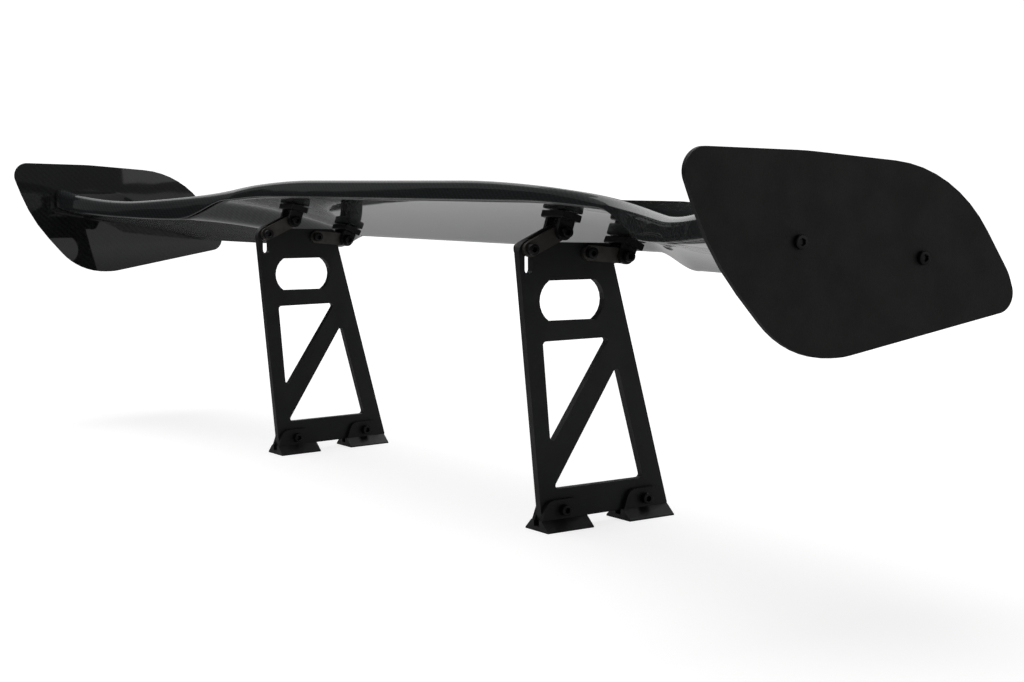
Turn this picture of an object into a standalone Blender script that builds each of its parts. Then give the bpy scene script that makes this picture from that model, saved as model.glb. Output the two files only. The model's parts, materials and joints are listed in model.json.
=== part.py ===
"""Racing rear wing: a hollow carbon aerofoil with a raised centre and two endplates, carried by
two lightened uprights on hinged feet. Each upright holds the aerofoil by a front link and a rear
link, and the rear link's lower bolt slides in the upright's slot to set the angle of attack.

Frame: +X along the span, -Y towards the rear of the car, +Z up, feet standing on Z = 0. The
origin is under the middle of the whole wing's box.
"""

from math import asin, atan2, cos, degrees, hypot, pi, radians, sin, tan

import bmesh
import bpy
from mathutils import Vector

# Driving dimensions, in metres.
SPAN = 1.45
GAP = 0.0003
UPRIGHT_X = 0.281
UPRIGHT_T = 0.008
FOOT_BOLTS_Y = {"rear": 0.0224, "front": 0.1034}
FOOT_BOLT_Z = 0.0165

# Pivots in the upright's plane, as (y, z). The slot bolt stands at the top of its slot.
SLOT_BOLT, SLOT_LOW = (0.0013, 0.2373), (0.0006, 0.2203)
FRONT_PIVOT = (0.0581, 0.2307)
REAR_WING_PIVOT = (0.0319, 0.2499)
FRONT_WING_PIVOT = (0.0919, 0.2257)
SLOT_HALF_WIDTH = 0.0037

# Fasteners.
BOLT_R = 0.0030
HOLE_R = BOLT_R + GAP
HEAD_R = 0.0048
HEAD_HEIGHT = 0.0060
SOCKET_R = 0.0025
NUT_R = 0.0058
NUT_HEIGHT = 0.0040
LOW_HEAD_HEIGHT = 0.0030
THREAD_SHOWING = 0.0020

# Links and brackets.
LINK_T = 0.0040
LINK_R = 0.0065
SPACER_R = 0.0045
LINK_IN = UPRIGHT_T / 2 + GAP
LINK_OUT = LINK_IN + LINK_T
EAR_T = 0.0040
EAR_IN = LINK_OUT + GAP
EAR_OUT = EAR_IN + EAR_T
EAR_R = 0.0070
FLANGE = (0.0360, 0.0180, 0.0062)
FLANGE_BELOW_SKIN = 0.0008
SCREW_DEPTH = 0.0090
OVERLAP = 0.00001

# Feet: length, width of the sole, and heights above the sole.
FOOT_LENGTH, FOOT_WIDTH = 0.0450, 0.0380
SOLE_EDGE, FOOT_FLOOR, FLARE_TOP, EAR_TOP = 0.0012, 0.0040, 0.0092, 0.0255
FOOT_EAR_OUT = 0.0087
ARCH_HALF, ARCH_R = 0.0150, 0.0090

# Uprights: the outline's corners and the windows' corners, as (y, z, radius).
UPRIGHT_OUTLINE = (
    (0.0030, 0.0083, 0.0010),
    (0.1291, 0.0083, 0.0010),
    (0.0804, 0.2375, 0.0040),
    (0.0315, 0.2411, 0.1000),
    (-0.0087, 0.2473, 0.0110),
)
UPPER_WINDOW = ((0.0147, 0.0695, 0.003), (0.0778, 0.1577, 0.003), (0.0113, 0.1593, 0.003))
LOWER_WINDOW = ((0.0151, 0.0340, 0.003), (0.1057, 0.0333, 0.003), (0.0838, 0.1344, 0.003))
ROUND_WINDOW = ((0.0531, 0.1914), (0.0301, 0.1924))
ROUND_WINDOW_R, ROUND_WINDOW_HALF_HEIGHT = 0.0202, 0.0170
UPRIGHT_EDGE = 0.0007

# Endplates.
PLATE_T = 0.0040
PLATE_EDGE = 0.0006
PLATE_OUTLINE = (
    (-0.1450, 0.3232, 0.0154),
    (-0.1210, 0.2532, 0.1805),
    (-0.0644, 0.1838, 0.0733),
    (-0.0211, 0.1821, 0.0603),
    (0.1273, 0.2019, 0.0134),
    (0.1203, 0.2262, 0.0339),
    (0.0757, 0.2992, 0.1066),
    (-0.0460, 0.3155, 0.2502),
)
PLATE_BOLTS = ((-0.0534, 0.2583), (0.0458, 0.2415))
PLATE_SCREW_DEPTH = 0.0110

# The aerofoil's section, from the trailing edge (share 0) to where the nose begins (share 1).
SKIN_T = 0.0020
WING_END = SPAN / 2 - PLATE_T - 0.0008
RIB_CLEARANCE = SKIN_T + 0.0010
RIB_SHARES = (0.17, 0.96)
MOUNT_RIB_HALF = 0.0150
END_RIB_T = 0.0120
TE_Y = 0.0036
NOSE_Y = 0.1176
TE_SWEEP, TE_SWEEP_FROM = 0.0928, 0.368
NOSE_SWEEP, NOSE_SWEEP_FROM = 0.0247, 0.250
TE_BOTTOM_Z, NOSE_BOTTOM_Z = 0.2768, 0.2295
TE_TOP_Z, NOSE_TOP_Z = 0.2932, 0.2713
CAMBER, UPPER_SAG = 0.0043, 0.0050
NOSE_REACH = 0.0274
NOSE_SEAM = (0.494, 0.503)

# How far the surfaces drop outboard, and between which spanwise places.
TE_EASE, TE_EASE_BEND = 0.0060, (0.270, 0.450)
TE_DROP, TE_BEND = 0.0200, (0.395, 0.490)
NOSE_DROP, NOSE_BEND = 0.0142, (0.300, 0.362)
TOP_TE_DROP, TOP_TE_BEND = 0.0227, (0.161, 0.645)
TOP_NOSE_DROP, TOP_NOSE_BEND = 0.0228, (0.341, 0.541)

# The tips turn up again, and the lip along the trailing edge stands above the upper surface.
LOW_TIP_RISE, LOW_TIP_FROM = 0.0150, 0.500
TOP_TIP_RISE, TOP_TIP_FROM = 0.0191, 0.561
TIP_POWER = 1.5
TIP_BELLY = 0.0473
LIP_RISE = 0.0030
LIP_RADIUS = 0.0045
LIP_SHARE = 0.16
EDGE_BREAK = 0.0006

# Looks: colour, roughness and metallic.
BLACK = ((0.012, 0.012, 0.013), 0.45, 0.2)
LINK_GREY = ((0.045, 0.042, 0.040), 0.40, 0.8)
STEEL = ((0.020, 0.020, 0.022), 0.35, 0.9)
CARBON = ((0.018, 0.021, 0.023), 0.12, 0.0)
PLATE_BLACK = ((0.014, 0.014, 0.014), 0.50, 0.0)
FOAM = ((0.180, 0.160, 0.120), 0.80, 0.0)


def clear_scene():
    for obj in list(bpy.data.objects):
        bpy.data.objects.remove(obj, do_unlink=True)


def material(name, look):
    colour, roughness, metallic = look
    made = bpy.data.materials.new(name)
    made.use_nodes = True
    shader = made.node_tree.nodes["Principled BSDF"]
    shader.inputs["Base Color"].default_value = (*colour, 1.0)
    shader.inputs["Roughness"].default_value = roughness
    shader.inputs["Metallic"].default_value = metallic
    return made


def finish(name, bm, look):
    """The mesh of a bmesh, faces out and smooth except at real edges, with its own material."""
    if all(len(edge.link_faces) == 2 for edge in bm.edges):
        bmesh.ops.recalc_face_normals(bm, faces=bm.faces)
    mesh = bpy.data.meshes.new(name)
    bm.to_mesh(mesh)
    bm.free()
    mesh.shade_smooth()
    mesh.set_sharp_from_angle(angle=radians(32))
    mesh.materials.append(material(name, look))
    return mesh


def place(name, mesh, location, parent=None):
    obj = bpy.data.objects.new(name, mesh)
    bpy.context.scene.collection.objects.link(obj)
    obj.parent = parent
    obj.location = location
    return obj


def helper(name, mesh, location=(0, 0, 0), parent=None):
    """An object that only serves a Boolean."""
    obj = place(name, mesh, location, parent)
    obj.hide_render = True
    obj.display_type = "WIRE"
    return obj


def cutter(name, bm):
    return helper(name, finish(name, bm, STEEL))


def cut(obj, tool):
    modifier = obj.modifiers.new(tool.name, "BOOLEAN")
    modifier.operation = "DIFFERENCE"
    modifier.solver = "EXACT"
    modifier.object = tool


def unite(obj, tool):
    modifier = obj.modifiers.new(tool.name, "BOOLEAN")
    modifier.operation = "UNION"
    modifier.solver = "EXACT"
    modifier.object = tool


def soften(obj, width):
    modifier = obj.modifiers.new("edge", "BEVEL")
    modifier.width = width
    modifier.segments = 1
    modifier.limit_method = "ANGLE"
    modifier.angle_limit = radians(50)


def arc(centre, radius, start, stop, steps):
    """Points on an arc, with both ends, angles in degrees."""
    turns = [radians(start + (stop - start) * i / steps) for i in range(steps + 1)]
    return [(centre[0] + radius * cos(t), centre[1] + radius * sin(t)) for t in turns]


def filleted(corners, degrees_a_step=14):
    """A closed outline whose corners (u, v, radius) are rounded."""
    points = []
    for i, (u, v, radius) in enumerate(corners):
        before = Vector(corners[i - 1][:2])
        here = Vector((u, v))
        after = Vector(corners[(i + 1) % len(corners)][:2])
        to_before = (before - here).normalized()
        to_after = (after - here).normalized()
        opening = to_before.angle(to_after)
        turn = pi - opening
        centre = here + (to_before + to_after).normalized() * radius / sin(opening / 2)
        first = here + to_before * radius / tan(opening / 2) - centre
        side = 1 if to_before.cross(to_after) < 0 else -1
        steps = max(2, round(turn / radians(degrees_a_step)))
        begin = atan2(first.y, first.x)
        for k in range(steps + 1):
            angle = begin + side * turn * k / steps
            points.append((centre.x + radius * cos(angle), centre.y + radius * sin(angle)))
    return points


def circle(centre, radius, count=12):
    turns = [2 * pi * (i + 0.5) / count for i in range(count)]
    return [(centre[0] + radius * cos(t), centre[1] + radius * sin(t)) for t in turns]


def slab(outline, holes, low_x, high_x):
    """A flat plate in the YZ plane between two X values, with holes through it."""
    bm = bmesh.new()
    edges = []
    for loop in [outline, *holes]:
        verts = [bm.verts.new((low_x, y, z)) for y, z in loop]
        edges += [bm.edges.new((verts[i - 1], verts[i])) for i in range(len(verts))]
    bmesh.ops.triangle_fill(bm, use_beauty=True, use_dissolve=False, edges=edges)
    made = bmesh.ops.extrude_face_region(bm, geom=list(bm.faces))
    moved = [item for item in made["geom"] if isinstance(item, bmesh.types.BMVert)]
    bmesh.ops.translate(bm, verts=moved, vec=(high_x - low_x, 0, 0))
    return bm


def loft(sections, closed_ring=False):
    """A skin through rings of points. The two ends get caps unless the last ring meets the first."""
    bm = bmesh.new()
    rings = [[bm.verts.new(p) for p in ring] for ring in sections]
    count = len(rings[0])
    pairs = list(zip(rings, rings[1:]))
    if closed_ring:
        pairs.append((rings[-1], rings[0]))
    for low, high in pairs:
        for i in range(count):
            j = (i + 1) % count
            bm.faces.new((low[i], low[j], high[j], high[i]))
    if not closed_ring:
        bm.faces.new(rings[0])
        bm.faces.new(rings[-1])
    return bm


def turned(profile, closed_ring=False, sides=12):
    """A shape turned about the X axis. The profile holds (x, radius), or (x, radius, "hex")."""
    rings = []
    for x, radius, *kind in profile:
        ring = []
        for i in range(sides):
            turn = 2 * pi * (i + 0.5 * (not kind)) / sides
            reach = radius
            if kind:
                reach = radius * cos(pi / 6) / cos((turn + pi / 6) % (pi / 3) - pi / 6)
            ring.append((x, reach * cos(turn), reach * sin(turn)))
        rings.append(ring)
    return loft(rings, closed_ring)


def cap_screw(tip_x, seat_x, head_height=HEAD_HEIGHT):
    """A socket-head screw along X, its head's underside at seat_x."""
    top = seat_x + head_height
    edge = 0.0005
    return turned(
        [
            (tip_x, BOLT_R - edge),
            (tip_x + edge, BOLT_R),
            (seat_x, BOLT_R),
            (seat_x, HEAD_R),
            (top - edge, HEAD_R),
            (top, HEAD_R - edge),
            (top, SOCKET_R, "hex"),
            (top - 0.6 * head_height, SOCKET_R, "hex"),
        ]
    )


def nut(face_x):
    """A hexagon nut along X from face_x towards -X."""
    return turned(
        [
            (face_x, NUT_R, "hex"),
            (face_x - NUT_HEIGHT, NUT_R, "hex"),
            (face_x - NUT_HEIGHT, HOLE_R),
            (face_x, HOLE_R),
        ],
        closed_ring=True,
    )


def spacer():
    """The tube between a pair of link plates."""
    half = LINK_IN - GAP
    profile = [(-half, SPACER_R), (half, SPACER_R), (half, HOLE_R), (-half, HOLE_R)]
    return turned(profile, closed_ring=True)


def smooth(share):
    share = min(max(share, 0.0), 1.0)
    return share * share * (3 - 2 * share)


# The aerofoil's surface: chord share 0 is the trailing edge, 1 is where the nose begins.


def te_y(x):
    return TE_Y - TE_SWEEP * smooth((abs(x) - TE_SWEEP_FROM) / (SPAN / 2 - TE_SWEEP_FROM))


def nose_y(x):
    return NOSE_Y - NOSE_SWEEP * smooth((abs(x) - NOSE_SWEEP_FROM) / (SPAN / 2 - NOSE_SWEEP_FROM))


def tip_share(x, begin):
    return max(0.0, (abs(x) - begin) / (SPAN / 2 - begin)) ** TIP_POWER


def bend(x, begin, end):
    """How far a bend has got at a spanwise place, from 0 inboard to 1 outboard."""
    return smooth((abs(x) - begin) / (end - begin))


def between(start, stop, share):
    return start + (stop - start) * share


def chord_y(x, share):
    return between(te_y(x), nose_y(x), share)


def share_at(x, y):
    return (y - te_y(x)) / (nose_y(x) - te_y(x))


def lower_z(x, share):
    bow = share * (1 - share)
    begin, end = (between(te, nose, share) for te, nose in zip(TE_BEND, NOSE_BEND))
    drop = between(TE_DROP, NOSE_DROP, share) * bend(x, begin, end)
    drop += between(TE_EASE, 0.0, share) * bend(x, *TE_EASE_BEND)
    tip = (LOW_TIP_RISE - TIP_BELLY * bow) * (1 - share) * tip_share(x, LOW_TIP_FROM)
    return between(TE_BOTTOM_Z, NOSE_BOTTOM_Z, share) + 4 * CAMBER * bow - drop + tip


def upper_z(x, share):
    te = TE_TOP_Z - TOP_TE_DROP * bend(x, *TOP_TE_BEND)
    te += TOP_TIP_RISE * tip_share(x, TOP_TIP_FROM)
    nose = NOSE_TOP_Z - TOP_NOSE_DROP * bend(x, *TOP_NOSE_BEND)
    lip = LIP_RISE * max(0.0, 1 - share / LIP_SHARE) ** 2
    return between(te, nose, share) - 4 * UPPER_SAG * share * (1 - share) + lip


def lower_slope(x, share):
    step = 0.01
    run = chord_y(x, share) - chord_y(x, share - step)
    return (lower_z(x, share) - lower_z(x, share - step)) / run


def nose_curve(x, share):
    """A point on the rounded nose, from the lower surface (0) to the upper surface (1)."""
    bottom = Vector((chord_y(x, 1), lower_z(x, 1)))
    top = Vector((chord_y(x, 1), upper_z(x, 1)))
    down = Vector((1, lower_slope(x, 1))).normalized() * NOSE_REACH
    p, q = bottom + down, top + down
    r = 1 - share
    return bottom * r**3 + p * (3 * r * r * share) + q * (3 * r * share * share) + top * share**3


def stations():
    """Spanwise places of the sections, closer together over the bends."""
    bands = ((0.0, 0.18, 1), (0.18, 0.30, 3), (0.30, 0.50, 12), (0.50, WING_END, 5))
    half = [a + (b - a) * i / n for a, b, n in bands for i in range(n)] + [WING_END]
    return [-x for x in reversed(half[1:])] + half


def lower_outline(x):
    first = share_at(x, te_y(x) + SKIN_T + EDGE_BREAK + GAP)
    shares = [first + (1 - first) * i / 8 for i in range(9)]
    points = [(chord_y(x, s), lower_z(x, s)) for s in shares]
    return points + [tuple(nose_curve(x, s)) for s in (0.14, 0.28, 0.40, 0.480, NOSE_SEAM[0])]


def upper_outline(x):
    points = [tuple(nose_curve(x, s)) for s in (NOSE_SEAM[1], 0.517, 0.60, 0.72, 0.86, 1.0)]
    back = share_at(x, te_y(x) + LIP_RADIUS)
    shares = [back + (1 - back) * (1 - i / 9) ** 1.4 for i in range(1, 10)]
    points += [(chord_y(x, s), upper_z(x, s)) for s in shares]
    centre = (te_y(x) + LIP_RADIUS, upper_z(x, back) - LIP_RADIUS)
    points += arc(centre, LIP_RADIUS, 90, 180, 4)[1:]
    bottom = lower_z(x, 0)
    return points + [(te_y(x), bottom + 2 * EDGE_BREAK), (te_y(x) + EDGE_BREAK, bottom)]


def skin(outline):
    """A sheet through the sections, given its thickness inwards."""
    bm = bmesh.new()
    rows = [[bm.verts.new((x, y, z)) for y, z in outline(x)] for x in stations()]
    for low, high in zip(rows, rows[1:]):
        for i in range(len(low) - 1):
            bm.faces.new((low[i], low[i + 1], high[i + 1], high[i]))
    return bm


def rib(low_x, high_x):
    """A block that fills the hollow between two chord shares, clear of both skins."""
    rings = []
    first, last = RIB_SHARES
    steps = 6
    shares = [first + (last - first) * i / steps for i in range(steps + 1)]
    for x in (low_x, (low_x + high_x) / 2, high_x):
        under = [(x, chord_y(x, s), lower_z(x, s) + RIB_CLEARANCE) for s in shares]
        over = [(x, chord_y(x, s), upper_z(x, s) - RIB_CLEARANCE) for s in reversed(shares)]
        rings.append(under + over)
    return loft(rings)


def slot_outline(start, end, radius):
    """A slot's outline round two centres, the first one on top."""
    heading = degrees(atan2(start[1] - end[1], start[0] - end[0]))
    top = arc(start, radius, heading - 90, heading + 90, 8)
    return top + arc(end, radius, heading + 90, heading + 270, 8)


def upright_mesh():
    bulge = degrees(asin(ROUND_WINDOW_HALF_HEIGHT / ROUND_WINDOW_R))
    front, rear = ROUND_WINDOW
    lean = degrees(atan2(front[1] - rear[1], front[0] - rear[0]))
    window = arc(front, ROUND_WINDOW_R, lean - bulge, lean + bulge, 8)
    window += arc(rear, ROUND_WINDOW_R, lean + 180 - bulge, lean + 180 + bulge, 8)
    slot = slot_outline(SLOT_BOLT, SLOT_LOW, SLOT_HALF_WIDTH)
    holes = [circle((y, FOOT_BOLT_Z), HOLE_R) for y in FOOT_BOLTS_Y.values()]
    holes += [window, filleted(UPPER_WINDOW), filleted(LOWER_WINDOW), slot]
    holes.append(circle(FRONT_PIVOT, HOLE_R))
    sheet = slab(filleted(UPRIGHT_OUTLINE), holes, -UPRIGHT_T / 2, UPRIGHT_T / 2)
    return finish("upright", sheet, BLACK)


def foot_mesh():
    """A shoe with a flared sole and two ears, its origin on the bolt."""
    right = [
        (FOOT_WIDTH / 2, 0.0),
        (FOOT_WIDTH / 2, SOLE_EDGE),
        (FOOT_EAR_OUT, FLARE_TOP),
        (FOOT_EAR_OUT, EAR_TOP),
        (LINK_IN, EAR_TOP),
        (LINK_IN, FOOT_FLOOR),
    ]
    section = right + [(-x, z) for x, z in reversed(right)]
    ends = (-FOOT_LENGTH / 2, FOOT_LENGTH / 2)
    rings = [[(x, y, z - FOOT_BOLT_Z) for x, z in section] for y in ends]
    return finish("foot", loft(rings), BLACK)


def foot_cutters():
    """The block above the ears' rounded outline, and the bolt hole."""
    over, step, corner = 0.004, 0.001, 0.0001
    reach = FOOT_EAR_OUT + over
    half, flare_z = FOOT_LENGTH / 2, FLARE_TOP - FOOT_BOLT_Z + 2 * corner
    top_z = EAR_TOP - FOOT_BOLT_Z
    right = [
        (ARCH_HALF, top_z, ARCH_R),
        (half - step, flare_z, corner),
        (half + over, flare_z, corner),
        (half + over, top_z + over, corner),
    ]
    left = [(-y, z, radius) for y, z, radius in reversed(right)]
    arch = cutter("foot_arch_cutter", slab(filleted(right + left), [], -reach, reach))
    bore = cutter("foot_bore_cutter", turned([(-reach, HOLE_R), (reach, HOLE_R)]))
    return arch, bore


def link_mesh(name, start, end, low_x, high_x):
    """A flat link in the YZ plane between two pivots, its origin on the first."""
    run = (end[0] - start[0], end[1] - start[1])
    holes = [circle((0, 0), HOLE_R), circle(run, HOLE_R)]
    outline = slot_outline(run, (0, 0), LINK_R)
    return finish(name, slab(outline, holes, low_x, high_x), LINK_GREY)


def bracket_frame(pivot):
    """The underside's point straight over a wing pivot along its normal, and its slope angle."""
    share = share_at(UPRIGHT_X, pivot[0])
    for _ in range(4):
        slope = lower_slope(UPRIGHT_X, share)
        height = lower_z(UPRIGHT_X, share) - pivot[1]
        share = share_at(UPRIGHT_X, pivot[0] - slope * height)
    lean = atan2(lower_slope(UPRIGHT_X, share), 1)
    foot_y, foot_z = chord_y(UPRIGHT_X, share), lower_z(UPRIGHT_X, share)
    return lean, hypot(foot_y - pivot[0], foot_z - pivot[1])


def bracket_parts(name, height):
    """A flange and two ears, in a frame whose Z is the underside's normal, origin on the pivot."""
    half_x, half_y, flange_t = FLANGE[0] / 2, FLANGE[1] / 2, FLANGE[2]
    top = height - FLANGE_BELOW_SKIN
    ear = arc((0, 0), EAR_R, 180, 360, 10) + [(EAR_R, top), (-EAR_R, top)]
    corner = 0.001
    corners = [
        (-half_y, top - flange_t, corner),
        (half_y, top - flange_t, corner),
        (half_y, top + OVERLAP, corner),
        (-half_y, top + OVERLAP, corner),
    ]
    flange = finish(name, slab(filleted(corners, 45), [], -half_x, half_x), BLACK)
    ears = []
    for low_x, high_x in ((EAR_IN, EAR_OUT), (-EAR_OUT, -EAR_IN)):
        plate = slab(ear, [circle((0, 0), HOLE_R)], low_x, high_x)
        ears.append(finish(f"{name}_ear", plate, BLACK))
    return flange, ears, top


def rod(profile):
    """A round pin along Z. The profile holds (radius, z)."""
    return loft([[(u, v, z) for u, v in circle((0, 0), radius)] for radius, z in profile])


def bracket_screw(seat_z, tip_z):
    """A low-head screw standing along Z, its head under the flange."""
    edge = 0.0006
    return rod(
        [
            (HEAD_R - edge, seat_z - 3 * edge),
            (HEAD_R, seat_z - 2 * edge),
            (HEAD_R, seat_z),
            (BOLT_R, seat_z),
            (BOLT_R, tip_z),
        ]
    )


def build_feet(uprights):
    mesh = foot_mesh()
    cutters = foot_cutters()
    seat = FOOT_EAR_OUT + GAP
    screw = finish("foot_bolt", cap_screw(-seat - NUT_HEIGHT - THREAD_SHOWING, seat), STEEL)
    lock = finish("foot_nut", nut(-seat), STEEL)
    for side, x in uprights:
        for end, y in FOOT_BOLTS_Y.items():
            spot = (x, y, FOOT_BOLT_Z)
            foot = place(f"{end}_foot_{side}", mesh, spot)
            for tool in cutters:
                cut(foot, helper(f"{tool.name}_{end}_{side}", tool.data, spot))
            place(f"{end}_foot_bolt_{side}", screw, spot)
            place(f"{end}_foot_nut_{side}", lock, spot)
    for tool in cutters:
        bpy.data.objects.remove(tool)


def build_uprights(uprights):
    mesh = upright_mesh()
    for side, x in uprights:
        soften(place(f"upright_{side}", mesh, (x, 0, 0)), UPRIGHT_EDGE)


def build_links(uprights):
    """Twin link plates either side of each upright, with their bolts, nuts and spacers."""
    chains = (("front", FRONT_PIVOT, FRONT_WING_PIVOT), ("rear", REAR_WING_PIVOT, SLOT_BOLT))
    for end, start, stop in chains:
        outer = link_mesh(f"{end}_link_outer", start, stop, LINK_IN, LINK_OUT)
        inner = link_mesh(f"{end}_link_inner", start, stop, -LINK_OUT, -LINK_IN)
        for side, x in uprights:
            for name, mesh in (("outer", outer), ("inner", inner)):
                place(f"{end}_link_{name}_{side}", mesh, (x, *start))
    tip = -EAR_IN - NUT_HEIGHT - THREAD_SHOWING
    screw = finish("upright_bolt", cap_screw(tip, EAR_IN), STEEL)
    lock = finish("upright_nut", nut(-EAR_IN), STEEL)
    ring = finish("link_spacer", spacer(), STEEL)
    for side, x in uprights:
        for name, spot in (("slot", SLOT_BOLT), ("link_pivot", FRONT_PIVOT)):
            place(f"{name}_bolt_{side}", screw, (x, *spot))
            place(f"{name}_nut_{side}", lock, (x, *spot))
        for end, spot in (("rear", REAR_WING_PIVOT), ("front", FRONT_WING_PIVOT)):
            place(f"{end}_link_spacer_{side}", ring, (x, *spot))


def build_brackets(uprights, wing):
    """The brackets under the aerofoil, with their pivot bolts and the screws into the ribs."""
    tip = -EAR_OUT - THREAD_SHOWING
    pivot_bolt = finish("bracket_pivot_bolt", cap_screw(tip, EAR_OUT + GAP), STEEL)
    holes = []
    origin = Vector((0, *FRONT_WING_PIVOT))
    for end, pivot in (("rear", REAR_WING_PIVOT), ("front", FRONT_WING_PIVOT)):
        lean, height = bracket_frame(pivot)
        flange, ears, top = bracket_parts(f"{end}_bracket", height)
        seat = top - FLANGE[2] - GAP
        screw = finish(f"{end}_bracket_screw", bracket_screw(seat, top + SCREW_DEPTH), STEEL)
        bore_ends = ((HOLE_R, seat - 0.001), (HOLE_R, top + SCREW_DEPTH + 0.001))
        bore_mesh = finish(f"{end}_bracket_bore", rod(bore_ends), STEEL)
        for side, x in uprights:
            spot = Vector((x, *pivot)) - origin
            bracket = place(f"{end}_bracket_{side}", flange, spot, wing)
            bracket.rotation_euler.x = lean
            for i, ear in enumerate(ears):
                tool = helper(f"{end}_ear_{i}_{side}", ear, spot, wing)
                tool.rotation_euler.x = lean
                unite(bracket, tool)
            bore = helper(f"{end}_bracket_bore_{side}", bore_mesh, spot, wing)
            bore.rotation_euler.x = lean
            cut(bracket, bore)
            holes.append(bore)
            place(f"{end}_bracket_screw_{side}", screw, spot, wing).rotation_euler.x = lean
            place(f"{end}_bracket_bolt_{side}", pivot_bolt, spot, wing)
    return holes


def build_aerofoil(uprights, wing, bracket_holes):
    """The two skins, and the ribs that the brackets are screwed into."""
    origin = Vector((0, *FRONT_WING_PIVOT))
    skins = {}
    for name, outline in (("upper_skin", upper_outline), ("lower_skin", lower_outline)):
        obj = place(name, finish(name, skin(outline), CARBON), -origin, wing)
        shell = obj.modifiers.new("thickness", "SOLIDIFY")
        shell.thickness = SKIN_T
        shell.offset = -1
        shell.use_even_offset = True
        skins[name] = obj
    for tool in bracket_holes:
        cut(skins["lower_skin"], tool)
    for side, x in uprights:
        block = rib(x - MOUNT_RIB_HALF, x + MOUNT_RIB_HALF)
        obj = place(f"mount_rib_{side}", finish(f"mount_rib_{side}", block, FOAM), -origin, wing)
        for tool in bracket_holes:
            if tool.name.endswith(side):
                cut(obj, tool)


def build_endplates(wing):
    """The endplates, the ribs that close the aerofoil's ends, and the screws that join them."""
    origin = Vector((0, *FRONT_WING_PIVOT))
    outline = filleted(PLATE_OUTLINE, 6)
    holes = [circle(bolt, HOLE_R) for bolt in PLATE_BOLTS]
    for side, sign in (("left", -1), ("right", 1)):
        faces = sorted((sign * (SPAN / 2 - PLATE_T), sign * SPAN / 2))
        mesh = finish(f"endplate_{side}", slab(outline, holes, *faces), PLATE_BLACK)
        soften(place(f"endplate_{side}", mesh, -origin, wing), PLATE_EDGE)
        faces = sorted((sign * (WING_END - END_RIB_T), sign * WING_END))
        mesh = finish(f"end_rib_{side}", rib(*faces), FOAM)
        block = place(f"end_rib_{side}", mesh, -origin, wing)
        for name, (y, z) in zip(("rear", "front"), PLATE_BOLTS):
            spot = Vector((sign * SPAN / 2, y, z)) - origin
            bm = cap_screw(-PLATE_T - PLATE_SCREW_DEPTH, GAP, LOW_HEAD_HEIGHT)
            for vert in bm.verts:
                vert.co.x *= sign
            screw = finish(f"{name}_plate_screw_{side}", bm, STEEL)
            place(f"{name}_plate_screw_{side}", screw, spot, wing)
            reach = PLATE_T + END_RIB_T + HEAD_HEIGHT
            bore = finish(f"{name}_plate_hole", turned([(-reach, HOLE_R), (reach, HOLE_R)]), STEEL)
            cut(block, helper(f"{name}_plate_hole_{side}", bore, spot, wing))


def main():
    clear_scene()
    uprights = (("left", -UPRIGHT_X), ("right", UPRIGHT_X))
    wing = place("wing_pivot", None, (0, *FRONT_WING_PIVOT))
    build_feet(uprights)
    build_uprights(uprights)
    build_links(uprights)
    holes = build_brackets(uprights, wing)
    build_aerofoil(uprights, wing, holes)
    build_endplates(wing)


main()
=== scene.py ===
"""Looks of the racing rear wing: smooth carbon shells, round fasteners, procedural materials and
a plain studio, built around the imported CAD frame."""

import json
import math

import bmesh
import bpy
from mathutils import Euler, Matrix, Vector


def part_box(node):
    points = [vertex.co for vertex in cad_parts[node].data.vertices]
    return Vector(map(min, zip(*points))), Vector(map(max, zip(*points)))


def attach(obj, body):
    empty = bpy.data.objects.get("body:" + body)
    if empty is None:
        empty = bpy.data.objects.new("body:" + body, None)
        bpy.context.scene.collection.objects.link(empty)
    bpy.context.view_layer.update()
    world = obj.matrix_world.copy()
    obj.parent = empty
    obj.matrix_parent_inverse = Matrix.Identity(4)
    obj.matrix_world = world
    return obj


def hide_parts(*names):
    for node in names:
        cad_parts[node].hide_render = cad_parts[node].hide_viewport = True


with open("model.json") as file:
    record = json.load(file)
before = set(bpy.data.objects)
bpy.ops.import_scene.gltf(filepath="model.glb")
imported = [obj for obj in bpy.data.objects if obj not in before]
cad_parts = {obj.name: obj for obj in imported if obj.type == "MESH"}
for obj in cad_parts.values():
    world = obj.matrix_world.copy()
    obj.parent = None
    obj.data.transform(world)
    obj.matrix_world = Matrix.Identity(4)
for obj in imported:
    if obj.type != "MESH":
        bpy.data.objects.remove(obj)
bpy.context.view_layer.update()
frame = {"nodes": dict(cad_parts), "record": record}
nodes = frame["nodes"]
record = frame["record"]

# The aerofoil's section, from the trailing edge (share 0) to where the nose begins (share 1).
HALF_SPAN = 0.725
WING_END = 0.7202
SKIN_T = 0.0020
SKIN_GAP = 0.0003
TE_Y, NOSE_Y = 0.0036, 0.1176
TE_SWEEP, TE_SWEEP_FROM = 0.0928, 0.368
NOSE_SWEEP, NOSE_SWEEP_FROM = 0.0247, 0.250
TE_BOTTOM_Z, NOSE_BOTTOM_Z = 0.2768, 0.2295
TE_TOP_Z, NOSE_TOP_Z = 0.2932, 0.2713
CAMBER, UPPER_SAG = 0.0043, 0.0050
NOSE_REACH = 0.0274
NOSE_TANGENT_FROM = 0.99
NOSE_SEAM = (0.494, 0.503)

# How far the surfaces drop outboard, and between which spanwise places.
TE_EASE, TE_EASE_BEND = 0.0060, (0.270, 0.450)
TE_DROP, TE_BEND = 0.0200, (0.395, 0.490)
NOSE_DROP, NOSE_BEND = 0.0142, (0.300, 0.362)
TOP_TE_DROP, TOP_TE_BEND = 0.0227, (0.161, 0.645)
TOP_NOSE_DROP, TOP_NOSE_BEND = 0.0228, (0.341, 0.541)

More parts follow.
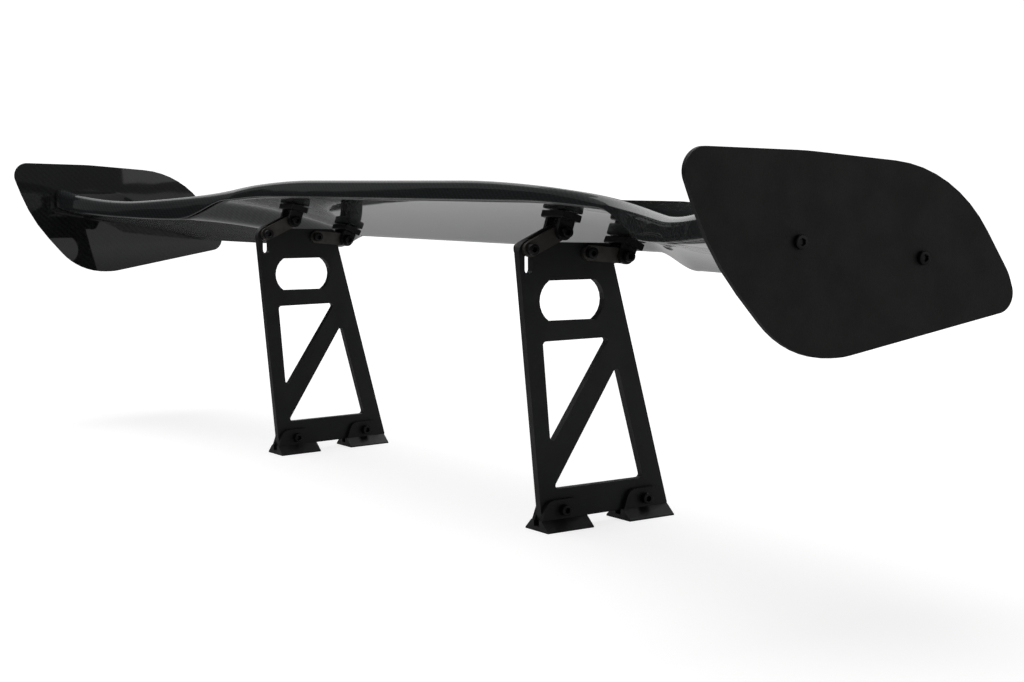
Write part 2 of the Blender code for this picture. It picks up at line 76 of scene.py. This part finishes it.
# The tips turn up again, and the lip along the trailing edge stands above the upper surface.
LOW_TIP_RISE, LOW_TIP_FROM = 0.0150, 0.500
TOP_TIP_RISE, TOP_TIP_FROM = 0.0191, 0.561
TIP_POWER = 1.5
TIP_BELLY = 0.0473
LIP_RISE = 0.0030
LIP_RADIUS, LIP_RADIUS_BEND = (0.0035, 0.0070), (0.300, 0.450)
LIP_SHARE = 0.16
EDGE_BREAK = 0.0006

# How finely a section is drawn. Its points crowd towards the lip.
CHORD_STEPS, NOSE_STEPS, LIP_STEPS, EDGE_STEPS = 26, 14, 9, 4
LIP_CROWDING = 1.4
STATION_BANDS = ((0.0, 0.25, 14), (0.25, 0.51, 46), (0.51, WING_END, 18))

# Fasteners.
ROUND_SIDES, ROUNDING_STEPS = 48, 4
HEAD_HEIGHT, LOW_HEAD_HEIGHT = 0.0060, 0.0030
HEAD_R, BOLT_R, SOCKET_R = 0.0048, 0.0030, 0.0025
SOCKET_DEPTH_SHARE = 0.6
EDGE_R, FINE_EDGE = 0.0007, 0.0003
THREAD_PITCH, THREAD_DEPTH, THREAD_LENGTH = 0.0010, 0.0005, 0.0070
NUT_R, NUT_BORE, NUT_CHAMFER = 0.0058, 0.0033, 0.0006
SPACER_R = 0.0045

# Materials. One tow's width, and how much of the weave's painted sheen depends on which tow lies on top.
TOW = 0.0018
TOP_TOW_SHEEN = 0.55
BLACK_STEEL = "black_steel"
FASTENER_WORDS = {"bolt", "nut", "screw", "spacer"}
SLOT_OF_WORD = {
    "upright": "upright_black",
    "foot": "foot_black",
    "bracket": "bracket_black",
    "link": "link_grey",
    "skin": "carbon_gloss",
    "endplate": "plate_black",
    "rib": "rib_foam",
}

# The studio. The sweep stands square to the line of sight.
LOOK_TURN = math.radians(61)
SWEEP_HALF, SWEEP_DEPTH, SWEEP_RISE = 9.0, 9.0, 7.0
SWEEP_BEND, SWEEP_BEND_STEPS = 2.0, 12
WHITE = (1.0, 1.0, 1.0, 1.0)
# Pale paint, a slightly darker patch of it, and painted shade: the dark paint that reflections see off
# the glowing sheet.
PALE_PAINT, PALE_PATCH, PAINTED_SHADE = (0.40,) * 3, (0.388,) * 3, (0.02,) * 3

# What the camera sees of the floor: its glow near the wing and far off, and where one becomes the other.
GLOW_NEAR, GLOW_FAR, GLOW_REACH = 0.78, 1.05, (0.7, 2.4)

# What reflections see: a dark room, and painted light, a glowing sheet with soft borders under the wing.
DARK_ROOM = 0.16
SHEET_GLOW, SHEET_LEFT, SHEET_BEHIND = 0.12, -1.10, -0.50
SHEET_LEFT_BLUR, SHEET_BEHIND_BLUR = 0.05, 0.6
FAR_RIGHT_GLOW, FAR_RIGHT_REACH = 0.40, (1.5, 4.0)

# The camera, with its turns in degrees.
LENS, SENSOR_WIDTH, LENS_SHIFT, CLIP_START = 72.59, 36.0, (0.0004, 0.0003), 0.02
CAMERA_PLACE = (1.7684, -0.8446, 0.3361)
CAMERA_TURNS = (84.153, 2.474, 60.634)


def smooth(share):
    """A share from 0 to 1, eased at both ends."""
    share = min(max(share, 0.0), 1.0)
    return share * share * (3 - 2 * share)


def te_y(x):
    """The trailing edge's place along the chord."""
    return TE_Y - TE_SWEEP * smooth((abs(x) - TE_SWEEP_FROM) / (HALF_SPAN - TE_SWEEP_FROM))


def nose_y(x):
    """Where the nose begins."""
    return NOSE_Y - NOSE_SWEEP * smooth((abs(x) - NOSE_SWEEP_FROM) / (HALF_SPAN - NOSE_SWEEP_FROM))


def tip_share(x, begin):
    """How far the tip's upward turn has got, from 0 at its beginning to 1 at the end of the span."""
    return max(0.0, (abs(x) - begin) / (HALF_SPAN - begin)) ** TIP_POWER


def bend(x, begin, end):
    """How far a bend has got at a spanwise place, from 0 inboard to 1 outboard."""
    return smooth((abs(x) - begin) / (end - begin))


def between(start, stop, share):
    return start + (stop - start) * share


def chord_y(x, share):
    return between(te_y(x), nose_y(x), share)


def share_at(x, y):
    return (y - te_y(x)) / (nose_y(x) - te_y(x))


def lower_z(x, share):
    """The lower surface. Its drop outboard comes nearer the centre towards the nose."""
    bow = share * (1 - share)
    begin, end = (between(te, nose, share) for te, nose in zip(TE_BEND, NOSE_BEND))
    drop = between(TE_DROP, NOSE_DROP, share) * bend(x, begin, end)
    drop += between(TE_EASE, 0.0, share) * bend(x, *TE_EASE_BEND)
    tip = (LOW_TIP_RISE - TIP_BELLY * bow) * (1 - share) * tip_share(x, LOW_TIP_FROM)
    return between(TE_BOTTOM_Z, NOSE_BOTTOM_Z, share) + 4 * CAMBER * bow - drop + tip


def upper_z(x, share):
    """The upper surface, hollow along the chord, with the lip along its trailing edge."""
    te = TE_TOP_Z - TOP_TE_DROP * bend(x, *TOP_TE_BEND)
    te += TOP_TIP_RISE * tip_share(x, TOP_TIP_FROM)
    nose = NOSE_TOP_Z - TOP_NOSE_DROP * bend(x, *TOP_NOSE_BEND)
    lip = LIP_RISE * max(0.0, 1 - share / LIP_SHARE) ** 2
    return between(te, nose, share) - 4 * UPPER_SAG * share * (1 - share) + lip


def nose_curve(x, share):
    """A point on the rounded nose, from the lower surface (0) to the upper surface (1)."""
    bottom = Vector((chord_y(x, 1), lower_z(x, 1)))
    top = Vector((chord_y(x, 1), upper_z(x, 1)))
    behind = Vector((chord_y(x, NOSE_TANGENT_FROM), lower_z(x, NOSE_TANGENT_FROM)))
    reach = (bottom - behind).normalized() * NOSE_REACH
    r = 1 - share
    low_part = bottom * r**3 + (bottom + reach) * (3 * r * r * share)
    return low_part + (top + reach) * (3 * r * share * share) + top * share**3


def spread(start, stop, count):
    """Evenly spaced numbers with both ends, over so many steps."""
    return [start + (stop - start) * i / count for i in range(count + 1)]


def stations():
    """Spanwise places of the sections, closer together over the bends."""
    half = [x for band in STATION_BANDS for x in spread(*band)[:-1]] + [WING_END]
    return [-x for x in reversed(half[1:])] + half


def lip_radius(x):
    return between(*LIP_RADIUS, bend(x, *LIP_RADIUS_BEND))


def lower_outline(x):
    """Points of the lower shell, from the trailing edge to the seam on the nose."""
    first = share_at(x, te_y(x) + SKIN_T + EDGE_BREAK + SKIN_GAP)
    points = [(chord_y(x, s), lower_z(x, s)) for s in spread(first, 1.0, CHORD_STEPS)]
    return points + [tuple(nose_curve(x, s)) for s in spread(0.0, NOSE_SEAM[0], NOSE_STEPS)[1:]]


def upper_outline(x):
    """Points of the upper shell, from the seam over the top and round the lip to the lower edge."""
    points = [tuple(nose_curve(x, s)) for s in spread(NOSE_SEAM[1], 1.0, NOSE_STEPS)]
    radius = lip_radius(x)
    back = share_at(x, te_y(x) + radius)
    for i in range(1, CHORD_STEPS + 1):
        share = between(back, 1.0, (1 - i / CHORD_STEPS) ** LIP_CROWDING)
        points.append((chord_y(x, share), upper_z(x, share)))
    y, z = te_y(x) + radius, upper_z(x, back) - radius
    for turn in spread(math.pi / 2, math.pi, LIP_STEPS)[1:]:
        points.append((y + radius * math.cos(turn), z + radius * math.sin(turn)))
    edge, bottom = te_y(x), lower_z(x, 0)
    points += [(edge, height) for height in spread(z, bottom + 2 * EDGE_BREAK, EDGE_STEPS)[1:]]
    broken_corner = (edge + 0.3 * EDGE_BREAK, bottom + 0.6 * EDGE_BREAK)
    return points + [broken_corner, (edge + EDGE_BREAK, bottom)]


def new_object(name, bm, material, sharp_degrees=35, recalc=True):
    """A smooth-shaded object from a bmesh, with its sharper edges kept."""
    if recalc:
        bmesh.ops.recalc_face_normals(bm, faces=bm.faces)
    mesh = bpy.data.meshes.new(name)
    bm.to_mesh(mesh)
    bm.free()
    mesh.materials.append(material)
    mesh.shade_smooth()
    mesh.set_sharp_from_angle(angle=math.radians(sharp_degrees))
    obj = bpy.data.objects.new(name, mesh)
    bpy.context.scene.collection.objects.link(obj)
    return obj


def stand_in(obj, node):
    """Makes a piece stand for a CAD node: puts it on that node's body and hides the node."""
    body = next(name for name, members in record["behaviour"]["bodies"].items() if node in members)
    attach(obj, body)
    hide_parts(node)


class Graph:
    """A small helper round one material's node tree. A value is a number, a tuple or a node's output."""

    # The mix node's two inputs and its output, by the kind of data that it mixes.
    MIX_SOCKETS = {"FLOAT": (2, 3, 0), "RGBA": (6, 7, 2)}

    def __init__(self, name):
        self.material = bpy.data.materials.new(name)
        self.material.use_nodes = True
        self.tree = self.material.node_tree
        self.shader = self.tree.nodes["Principled BSDF"]
        self.coords = self.node("ShaderNodeTexCoord").outputs["Object"]

    def node(self, kind, **values):
        made = self.tree.nodes.new(kind)
        for key, value in values.items():
            setattr(made, key, value)
        return made

    def link(self, source, target):
        self.tree.links.new(source, target)

    def feed(self, made, name, value):
        socket = made.inputs[name]
        if hasattr(value, "is_linked"):
            self.link(value, socket)
        else:
            socket.default_value = value

    def math(self, operation, a, b=0.0, c=0.0):
        made = self.node("ShaderNodeMath", operation=operation)
        for i, value in enumerate((a, b, c)):
            self.feed(made, i, value)
        return made.outputs[0]

    def mapped(self, scale):
        made = self.node("ShaderNodeMapping")
        self.link(self.coords, made.inputs["Vector"])
        made.inputs["Scale"].default_value = scale
        return made.outputs["Vector"]

    def noise(self, scale, detail=3.0, roughness=0.55, stretch=(1, 1, 1)):
        made = self.node("ShaderNodeTexNoise")
        self.link(self.mapped(stretch), made.inputs["Vector"])
        made.inputs["Scale"].default_value = scale
        made.inputs["Detail"].default_value = detail
        made.inputs["Roughness"].default_value = roughness
        return made.outputs["Fac"]

    def ramp(self, value, low, high, start=0.0, stop=1.0):
        """A smooth change from low to high while the value goes from start to stop."""
        made = self.node("ShaderNodeMapRange")
        made.interpolation_type = "SMOOTHSTEP"
        for name, number in (
            ("From Min", start),
            ("From Max", stop),
            ("To Min", low),
            ("To Max", high),
        ):
            made.inputs[name].default_value = number
        self.feed(made, "Value", value)
        return made.outputs["Result"]

    def mix(self, share, first, second, kind="RGBA"):
        made = self.node("ShaderNodeMix", data_type=kind)
        first_socket, second_socket, out = self.MIX_SOCKETS[kind]
        for socket, value in ((0, share), (first_socket, first), (second_socket, second)):
            self.feed(made, socket, (*value, 1.0) if isinstance(value, tuple) else value)
        return made.outputs[out]

    def bump(self, height, strength, distance):
        made = self.node("ShaderNodeBump")
        made.inputs["Strength"].default_value = strength
        made.inputs["Distance"].default_value = distance
        self.feed(made, "Height", height)
        return made.outputs["Normal"]

    def set(self, **values):
        """Sets the shader's inputs, with _ for a space in their names, and returns the material."""
        for key, value in values.items():
            self.feed(self.shader, key.replace("_", " "), value)
        return self.material


def powder_coat(name, dark, light, roughness, grain, strength):
    """Satin black coating with a fine orange-peel texture and slight wear."""
    g = Graph(name)
    cloud = g.ramp(g.noise(scale=14.0, detail=4.0), 0.0, 1.0, start=0.3, stop=0.7)
    wear = g.noise(scale=40.0)
    rough = g.ramp(wear, roughness - 0.05, roughness + 0.06, start=0.3, stop=0.7)
    peel = g.bump(g.noise(scale=grain, detail=2.0), strength, distance=0.0004)
    g.link(g.mix(cloud, dark, light), g.shader.inputs["Base Color"])
    return g.set(Roughness=rough, Normal=peel, Specular_IOR_Level=0.3)


def crown(g, place):
    """The height of a tow at a place counted in tows, 1 along its middle and 0 at its edges."""
    off = g.math("ABSOLUTE", g.math("SUBTRACT", g.math("FRACT", place), 0.5))
    return g.math("SUBTRACT", 1.0, g.math("MULTIPLY", off, 2.0))


def carbon(name, dark, light, along_axis):
    """A two by two twill under clear coat, with tows along one axis and across it, and a painted sheen.
    """
    g = Graph(name)
    split = g.node("ShaderNodeSeparateXYZ")
    g.link(g.coords, split.inputs[0])
    depth = split.outputs["Z"]
    if along_axis == "X":
        depth = g.math("ADD", depth, split.outputs["Y"])
    along = g.math("MULTIPLY", split.outputs[along_axis], 1 / TOW)
    across = g.math("MULTIPLY", depth, 1 / TOW)
    step = g.math("ADD", g.math("FLOOR", along), g.math("FLOOR", across))
    twill = g.math("LESS_THAN", g.math("FLOORED_MODULO", step, 4.0), 2.0)
    height = g.mix(twill, crown(g, along), crown(g, across), kind="FLOAT")
    height_sheen = g.math("MULTIPLY", height, 1 - TOP_TOW_SHEEN)
    sheen = g.math("MULTIPLY_ADD", twill, TOP_TOW_SHEEN, height_sheen)
    fibres = g.noise(scale=600.0, detail=2.0, stretch=(1, 0.2, 0.2))
    rough = g.ramp(fibres, 0.34, 0.46, start=0.3, stop=0.7)
    waviness = g.bump(g.noise(scale=9.0, detail=2.0), strength=0.04, distance=0.003)
    # Painted sheen: the base colour is lighter where one tow lies on top and along the middle of each
    # tow.
    g.link(g.mix(sheen, dark, light), g.shader.inputs["Base Color"])
    g.set(Coat_Weight=1.0, Coat_Roughness=0.02, Coat_IOR=1.5, Coat_Normal=waviness)
    return g.set(Roughness=rough, Specular_IOR_Level=0.1)


def brushed(name, dark, light, roughness, metallic, stretch):
    """Metal with fine scratches along one way."""
    g = Graph(name)
    lines = g.noise(scale=900.0, stretch=stretch)
    cloud = g.ramp(g.noise(scale=60.0), 0.0, 1.0, start=0.3, stop=0.7)
    rough = g.ramp(lines, roughness - 0.07, roughness + 0.08, start=0.3, stop=0.7)
    scratches = g.bump(lines, strength=0.12, distance=0.0001)
    g.link(g.mix(cloud, dark, light), g.shader.inputs["Base Color"])
    return g.set(Roughness=rough, Normal=scratches, Metallic=metallic)


def foam(name, wall, hollow):
    """Open cells, for the ribs inside the wing, with painted shade in their hollows."""
    g = Graph(name)
    cells = g.node("ShaderNodeTexVoronoi")
    g.link(g.coords, cells.inputs["Vector"])
    cells.inputs["Scale"].default_value = 700.0
    depth = cells.outputs["Distance"]
    # Painted shade: the colour goes from the wall tone to the darker hollow tone with the distance from
    # each cell's centre.
    g.link(g.mix(depth, wall, hollow), g.shader.inputs["Base Color"])
    return g.set(Normal=g.bump(depth, strength=0.5, distance=0.0004), Roughness=0.85)


MATERIALS = {
    "upright_black": powder_coat(
        "upright_coat",
        dark=(0.0085, 0.0090, 0.0095),
        light=(0.0125, 0.0130, 0.0135),
        roughness=0.44,
        grain=1500.0,
        strength=0.22,
    ),
    "foot_black": powder_coat(
        "foot_coat",
        dark=(0.0075, 0.0075, 0.0080),
        light=(0.0110, 0.0110, 0.0115),
        roughness=0.46,
        grain=1300.0,
        strength=0.30,
    ),
    "bracket_black": powder_coat(
        "bracket_coat",
        dark=(0.0065, 0.0065, 0.0070),
        light=(0.0105, 0.0105, 0.0110),
        roughness=0.38,
        grain=1600.0,
        strength=0.20,
    ),
    "plate_black": powder_coat(
        "plate_texture",
        dark=(0.0085, 0.0085, 0.0083),
        light=(0.0110, 0.0110, 0.0106),
        roughness=0.52,
        grain=900.0,
        strength=0.55,
    ),
    "carbon_gloss": carbon(
        "carbon_weave",
        dark=(0.0120, 0.0135, 0.0140),
        light=(0.029, 0.034, 0.036),
        along_axis="X",
    ),
    "link_grey": brushed(
        "link_anodised",
        dark=(0.062, 0.056, 0.050),
        light=(0.105, 0.096, 0.087),
        roughness=0.42,
        metallic=0.6,
        stretch=(0.05, 1, 1),
    ),
    BLACK_STEEL: brushed(
        "black_oxide",
        dark=(0.010, 0.010, 0.011),
        light=(0.024, 0.024, 0.026),
        roughness=0.32,
        metallic=0.8,
        stretch=(1, 0.1, 0.1),
    ),
    # The foam's hollow tone is painted shade.
    "rib_foam": foam("rib_foam", wall=(0.20, 0.17, 0.12), hollow=(0.13, 0.11, 0.08)),
}
PLATE_GLOSS = carbon(
    "plate_gloss",
    dark=(0.0050, 0.0054, 0.0056),
    light=(0.0100, 0.0110, 0.0115),
    along_axis="Y",
)


def slot_of(node):
    """The record's material slot of a CAD node, from the words in its name."""
    words = set(node.split("_"))
    if words & FASTENER_WORDS:
        return BLACK_STEEL
    return next(slot for word, slot in SLOT_OF_WORD.items() if word in words)


def shell(name, outline, node):
    """One moulded carbon shell: a sheet through the sections, thickened inwards."""
    bm = bmesh.new()
    rows = [[bm.verts.new((x, y, z)) for y, z in outline(x)] for x in stations()]
    for low, high in zip(rows, rows[1:]):
        for i in range(len(low) - 1):
            bm.faces.new((low[i], low[i + 1], high[i + 1], high[i]))
    obj = new_object(name, bm, MATERIALS["carbon_gloss"], sharp_degrees=50, recalc=False)
    thick = obj.modifiers.new("thickness", "SOLIDIFY")
    thick.thickness = SKIN_T
    thick.offset = -1
    thick.use_even_offset = True
    stand_in(obj, node)


def turned(profile, closed_ring=False):
    """A shape turned about X. The profile holds (x, radius), or (x, radius, round) for a hexagon
    whose corners are cut back to the given radius."""
    bm = bmesh.new()
    rings = []
    for x, radius, *cut_back in profile:
        ring = []
        for i in range(ROUND_SIDES):
            turn = 2 * math.pi * i / ROUND_SIDES
            reach = radius
            if cut_back:
                half_side = math.pi / 6
                off_flat = (turn + half_side) % (2 * half_side) - half_side
                reach = min(radius * math.cos(half_side) / math.cos(off_flat), cut_back[0])
            ring.append(bm.verts.new((x, reach * math.cos(turn), reach * math.sin(turn))))
        rings.append(ring)
    pairs = list(zip(rings, rings[1:])) + ([(rings[-1], rings[0])] if closed_ring else [])
    for low, high in pairs:
        for i in range(ROUND_SIDES):
            j = (i + 1) % ROUND_SIDES
            bm.faces.new((low[i], low[j], high[j], high[i]))
    if not closed_ring:
        bm.faces.new(rings[0])
        bm.faces.new(rings[-1])
    return bm


def thread(tip, length):
    """Rings of a thread's crests and roots, from the tip towards the head."""
    rings = [(tip, BOLT_R - THREAD_DEPTH)]
    for i in range(int(length / THREAD_PITCH)):
        rings.append((tip + (i + 0.5) * THREAD_PITCH, BOLT_R))
        rings.append((tip + (i + 1) * THREAD_PITCH, BOLT_R - THREAD_DEPTH))
    return rings


def screw_profile(length, head_height):
    """A socket-head screw from its tip at x = 0 to its head's top at x = length."""
    seat = length - head_height
    seat_edge = EDGE_R / 3
    profile = thread(0.0, min(THREAD_LENGTH, seat - THREAD_PITCH))
    profile += [(seat, BOLT_R), (seat, HEAD_R - seat_edge), (seat + seat_edge, HEAD_R)]
    for turn in spread(0.0, math.pi / 2, ROUNDING_STEPS):
        out, down = EDGE_R * math.cos(turn), EDGE_R * math.sin(turn)
        profile.append((length - EDGE_R + down, HEAD_R - EDGE_R + out))
    mouth = SOCKET_R + FINE_EDGE
    socket_floor = length - SOCKET_DEPTH_SHARE * head_height
    profile += [(length, mouth, mouth), (length - FINE_EDGE, SOCKET_R, SOCKET_R)]
    return profile + [(socket_floor, SOCKET_R, SOCKET_R)]


def nut_profile(length):
    """A hexagon nut with both faces chamfered, from x = 0 to x = length."""
    chamfer = NUT_R - NUT_CHAMFER
    return [
        (0.0, NUT_R, chamfer),
        (NUT_CHAMFER, NUT_R, NUT_R),
        (length - NUT_CHAMFER, NUT_R, NUT_R),
        (length, NUT_R, chamfer),
        (length, NUT_BORE + FINE_EDGE),
        (length - FINE_EDGE, NUT_BORE),
        (FINE_EDGE, NUT_BORE),
        (0.0, NUT_BORE + FINE_EDGE),
    ]


def spacer_profile(length):
    """A tube with its outer edges broken, from x = 0 to x = length."""
    return [
        (0.0, SPACER_R - FINE_EDGE),
        (FINE_EDGE, SPACER_R),
        (length - FINE_EDGE, SPACER_R),
        (length, SPACER_R - FINE_EDGE),
        (length, NUT_BORE),
        (0.0, NUT_BORE),
    ]


def fastener(node, profile_of, closed_ring, head_outward=True):
    """A round stand-in for a CAD fastener that lies along X, placed in that fastener's box."""
    low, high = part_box(node)
    bm = turned(profile_of(high[0] - low[0]), closed_ring)
    if not head_outward:
        bmesh.ops.rotate(bm, verts=bm.verts, matrix=Matrix.Rotation(math.pi, 3, "Z"))
    start = low[0] if head_outward else high[0]
    place = (start, (low[1] + high[1]) / 2, (low[2] + high[2]) / 2)
    bmesh.ops.translate(bm, verts=bm.verts, vec=place)
    stand_in(new_object(f"round_{node}", bm, MATERIALS[BLACK_STEEL]), node)


def build_fasteners():
    """Round bolts, nuts, spacers and plate screws. The screws in the ribs are hidden and stay CAD."""
    for node in sorted(nodes):
        kind = node.rsplit("_", 1)[0]
        if kind.endswith("plate_screw"):
            right = node.endswith("right")
            fastener(node, lambda length: screw_profile(length, LOW_HEAD_HEIGHT), False, right)
        elif kind.endswith("_bolt"):
            fastener(node, lambda length: screw_profile(length, HEAD_HEIGHT), False)
        elif kind.endswith("_nut"):
            fastener(node, nut_profile, True)
        elif kind.endswith("_spacer"):
            fastener(node, spacer_profile, True)


def finish_cad_nodes():
    """Each CAD node gets its slot's material; the endplates' inner faces are gloss weave."""
    for name, obj in nodes.items():
        obj.data.materials.clear()
        obj.data.materials.append(MATERIALS[slot_of(name)])
    for side, sign in (("left", 1), ("right", -1)):
        mesh = nodes[f"endplate_{side}"].data
        mesh.materials.append(PLATE_GLOSS)
        for face in mesh.polygons:
            face.material_index = 1 if face.normal.x * sign > 0.5 else 0


def camera_ray(g):
    return g.node("ShaderNodeLightPath").outputs["Is Camera Ray"]


def sweep_material():
    """Pale paint that the camera sees as white, with a soft shadow. Reflections see painted light: a
    glowing sheet that ends a little way to the left and behind, a glow to the far right, and dark paint
    as painted shade off the sheet."""
    g = Graph("sweep_paint")
    turn = g.node("ShaderNodeVectorRotate", rotation_type="Z_AXIS")
    g.link(g.coords, turn.inputs["Vector"])
    turn.inputs["Angle"].default_value = LOOK_TURN
    world = g.node("ShaderNodeSeparateXYZ")
    g.link(turn.outputs["Vector"], world.inputs[0])
    distance = g.node("ShaderNodeVectorMath", operation="LENGTH")
    g.link(g.coords, distance.inputs[0])
    left = g.ramp(world.outputs["X"], 0.0, 1.0, SHEET_LEFT - SHEET_LEFT_BLUR, SHEET_LEFT)
    behind = g.ramp(world.outputs["Y"], 0.0, 1.0, SHEET_BEHIND - SHEET_BEHIND_BLUR, SHEET_BEHIND)
    sheet = g.math("MULTIPLY", left, behind)
    cloud = g.ramp(g.noise(scale=3.0, detail=2.0), 0.0, 1.0, start=0.3, stop=0.7)
    paint = g.mix(cloud, PALE_PAINT, PALE_PATCH)
    # Reflections see pale paint only on the sheet; elsewhere they see dark paint, as painted shade.
    lit = g.math("MAXIMUM", camera_ray(g), sheet)
    g.link(g.mix(lit, PAINTED_SHADE, paint), g.shader.inputs["Base Color"])
    seen = g.ramp(distance.outputs["Value"], GLOW_NEAR, GLOW_FAR, *GLOW_REACH)
    far_right = g.ramp(world.outputs["X"], 0.0, FAR_RIGHT_GLOW, *FAR_RIGHT_REACH)
    # Painted light for reflections: the sheet glows, and so does the floor far to the right.
    mirrored = g.math("MULTIPLY_ADD", sheet, SHEET_GLOW, far_right)
    glow = g.mix(camera_ray(g), mirrored, seen, kind="FLOAT")
    g.link(glow, g.shader.inputs["Emission Strength"])
    return g.set(Roughness=0.8, Specular_IOR_Level=0.1, Emission_Color=WHITE)


def build_sweep():
    """Floor and far wall in one piece, with a soft bend between them."""
    profile = [(-SWEEP_DEPTH, 0.0), (SWEEP_DEPTH - SWEEP_BEND, 0.0)]
    for turn in spread(0.0, math.pi / 2, SWEEP_BEND_STEPS)[1:]:
        out = SWEEP_DEPTH - SWEEP_BEND + SWEEP_BEND * math.sin(turn)
        profile.append((out, SWEEP_BEND - SWEEP_BEND * math.cos(turn)))
    profile.append((SWEEP_DEPTH, SWEEP_RISE))
    bm = bmesh.new()
    rows = [[bm.verts.new((x, y, z)) for x in (-SWEEP_HALF, SWEEP_HALF)] for y, z in profile]
    for low, high in zip(rows, rows[1:]):
        bm.faces.new((low[0], low[1], high[1], high[0]))
    sweep = new_object("sweep", bm, sweep_material(), recalc=False)
    sweep.rotation_euler.z = LOOK_TURN


def area_light(name, place, target, size, power):
    """A soft box at a place, turned to face its target."""
    data = bpy.data.lights.new(name, "AREA")
    data.shape = "RECTANGLE"
    data.size, data.size_y = size
    data.energy = power
    obj = bpy.data.objects.new(name, data)
    bpy.context.scene.collection.objects.link(obj)
    obj.location = place
    obj.rotation_euler = (Vector(target) - Vector(place)).to_track_quat("-Z", "Y").to_euler()


def build_light():
    """A large box overhead and a low one at each side, in a room that only the camera sees white."""
    world = bpy.data.worlds.new("studio")
    bpy.context.scene.world = world
    world.use_nodes = True
    tree = world.node_tree
    path = tree.nodes.new("ShaderNodeLightPath")
    strength = tree.nodes.new("ShaderNodeMapRange")
    strength.inputs["To Min"].default_value = DARK_ROOM
    strength.inputs["To Max"].default_value = 1.0
    tree.links.new(path.outputs["Is Camera Ray"], strength.inputs["Value"])
    background = tree.nodes["Background"]
    background.inputs["Color"].default_value = WHITE
    tree.links.new(strength.outputs["Result"], background.inputs["Strength"])
    area_light("top_box", (-0.3, 0.2, 2.6), target=(0, 0, 0.2), size=(2.6, 1.8), power=55.0)
    area_light("left_box", (-2.3, 0.4, 1.3), target=(0, 0, 0.25), size=(2.4, 1.3), power=8.0)
    area_light("side_box", (3.2, 2.2, 0.9), target=(0, 0, 0.3), size=(1.8, 1.4), power=6.0)


def build_camera():
    """The line of sight of a long lens, from behind and to the right."""
    data = bpy.data.cameras.new("camera")
    data.sensor_width, data.lens = SENSOR_WIDTH, LENS
    data.shift_x, data.shift_y = LENS_SHIFT
    data.clip_start = CLIP_START
    camera = bpy.data.objects.new("camera", data)
    bpy.context.scene.collection.objects.link(camera)
    turns = Euler([math.radians(turn) for turn in CAMERA_TURNS])
    camera.matrix_world = Matrix.LocRotScale(CAMERA_PLACE, turns, None)
    bpy.context.scene.camera = camera


finish_cad_nodes()
shell("upper_shell", upper_outline, "upper_skin")
shell("lower_shell", lower_outline, "lower_skin")
build_fasteners()
build_sweep()
build_light()
build_camera()
bpy.context.scene.view_settings.view_transform = "Standard"
